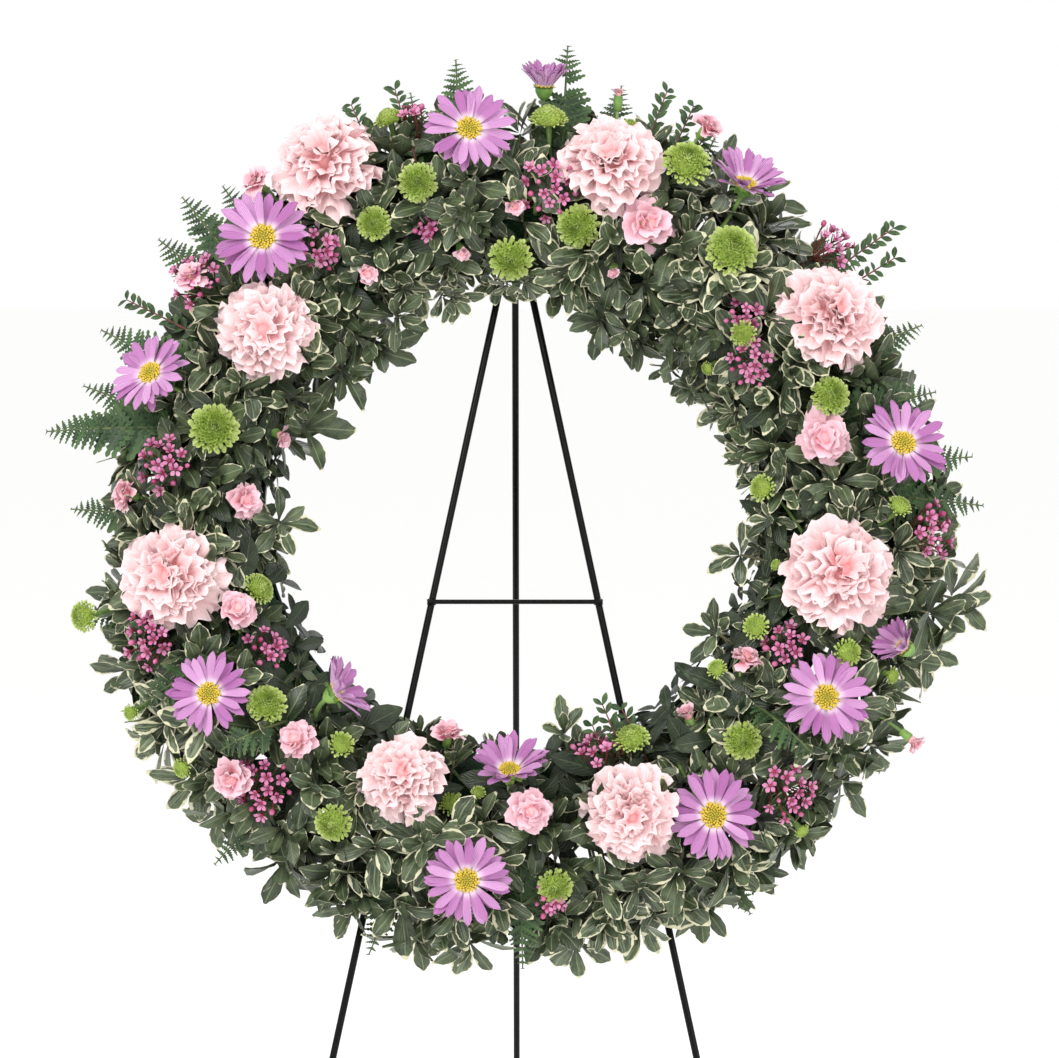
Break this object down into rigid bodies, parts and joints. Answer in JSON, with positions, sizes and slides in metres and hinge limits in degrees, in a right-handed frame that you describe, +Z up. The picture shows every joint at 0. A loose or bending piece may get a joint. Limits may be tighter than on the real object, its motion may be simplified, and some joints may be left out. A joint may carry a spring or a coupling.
{
  "type": "standing funeral wreath",
  "caption": "Round wreath of pink and lilac flowers and mixed greenery in a foam ring, hung on a folding wire easel with one rear leg.",
  "frame": {"origin": "on the floor under the middle of the whole part", "axes": "+Z up, flowers facing -Y, +X to the right of someone looking at the flowers"},
  "size_m": [0.635, 0.593, 1.1353],
  "materials": {
    "easel_wire": "satin",
    "tray": "satin",
    "foam": "matte",
    "tie_wire": "satin",
    "carnation": "matte",
    "mini_carnation": "matte",
    "daisy": "matte",
    "button_pompon": "matte",
    "waxflower": "matte",
    "fern": "satin",
    "pittosporum": "satin"
  },
  "bodies": {
    "front_frame": {"front_leg_left": "easel_wire", "front_leg_right": "easel_wire", "crossbar": "easel_wire", "ring_hook": "easel_wire", "hinge_bracket": "easel_wire", "hinge_pin": "easel_wire", "ring_tray": "tray", "tie_wire_left": "tie_wire", "tie_wire_right": "tie_wire", "carnation_1": "carnation", "carnation_2": "carnation", "carnation_3": "carnation", "carnation_4": "carnation", "carnation_5": "carnation", "carnation_6": "carnation", "carnation_7": "carnation", "carnation_8": "carnation", "daisy_1": "daisy", "daisy_2": "daisy", "daisy_3": "daisy", "daisy_4": "daisy", "daisy_5": "daisy", "daisy_6": "daisy", "daisy_7": "daisy", "daisy_8": "daisy", "daisy_9": "daisy", "daisy_10": "daisy", "daisy_11": "daisy", "daisy_12": "daisy", "daisy_13": "daisy", "button_spray_1": "button_pompon", "button_spray_2": "button_pompon", "button_spray_3": "button_pompon", "button_spray_4": "button_pompon", "button_spray_5": "button_pompon", "button_spray_6": "button_pompon", "button_spray_7": "button_pompon", "mini_carnation_1": "mini_carnation", "mini_carnation_2": "mini_carnation", "mini_carnation_3": "mini_carnation", "mini_carnation_4": "mini_carnation", "mini_carnation_5": "mini_carnation", "mini_carnation_6": "mini_carnation", "mini_carnation_7": "mini_carnation", "waxflower_spray_1": "waxflower", "waxflower_spray_2": "waxflower", "waxflower_spray_3": "waxflower", "fern_1": "fern", "fern_2": "fern", "fern_3": "fern", "pittosporum_1": "pittosporum", "pittosporum_2": "pittosporum", "pittosporum_3": "pittosporum", "pittosporum_4": "pittosporum", "pittosporum_5": "pittosporum", "pittosporum_6": "pittosporum", "pittosporum_7": "pittosporum", "pittosporum_8": "pittosporum", "foam_ring": "foam"},
    "rear_leg": {"rear_leg": "easel_wire"}
  },
  "joints": [
    {"name": "rear_leg_fold", "type": "hinge", "parent": "front_frame", "child": "rear_leg", "pos_m": [0.00022, -0.06955, 0.99863], "axis": [-1, 0, 0], "range_deg": [0, 32]}
  ]
}
